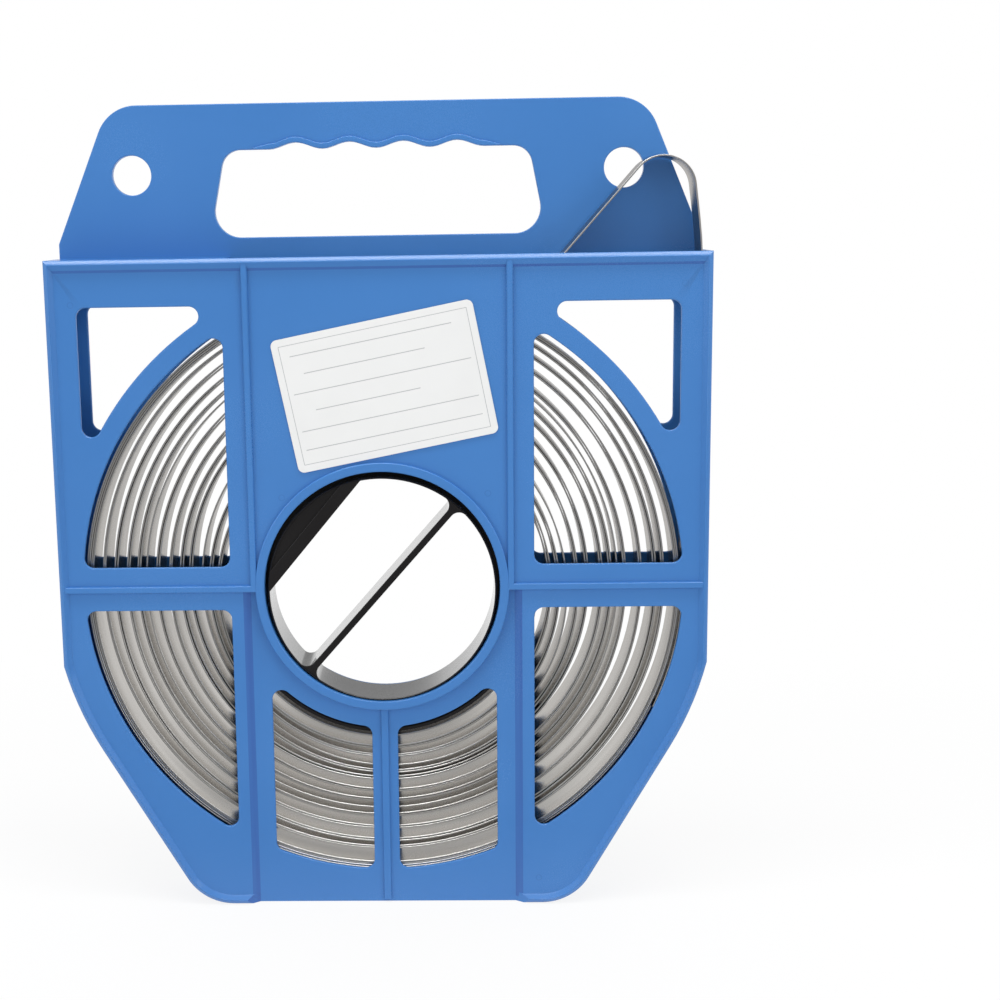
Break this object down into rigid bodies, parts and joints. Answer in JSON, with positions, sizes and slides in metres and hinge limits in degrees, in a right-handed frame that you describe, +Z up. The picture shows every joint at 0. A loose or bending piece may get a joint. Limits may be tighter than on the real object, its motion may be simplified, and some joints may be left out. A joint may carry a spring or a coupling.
{
  "type": "steel banding strap in a carry case",
  "caption": "Coil of flat stainless steel banding strap on a reel inside a moulded carry case with windows, a round hub opening and a grip handle.",
  "frame": {"origin": "on the floor under the middle of the case, half-way through its thickness", "axes": "+Z up to the handle, -Y towards the front with the label, +X to the viewer's right, where the strap leaves the case"},
  "size_m": [0.306, 0.03, 0.3835],
  "materials": {
    "blue_plastic": "injection-moulded blue polypropylene, satin",
    "black_plastic": "injection-moulded black plastic",
    "stainless_steel": "rolled stainless steel strip with slit edges",
    "white_paper": "coated white paper, left blank"
  },
  "bodies": {
    "case": {"front_cover": "blue_plastic", "back_cover": "blue_plastic", "paper_label": "white_paper", "strap_end": "stainless_steel"},
    "reel": {"reel_core": "black_plastic", "strap_coil": "stainless_steel"}
  },
  "joints": [
    {"name": "reel_spin", "type": "hinge", "parent": "case", "child": "reel", "pos_m": [0, 0, 0.1568], "axis": [0, 1, 0], "continuous": true}
  ]
}
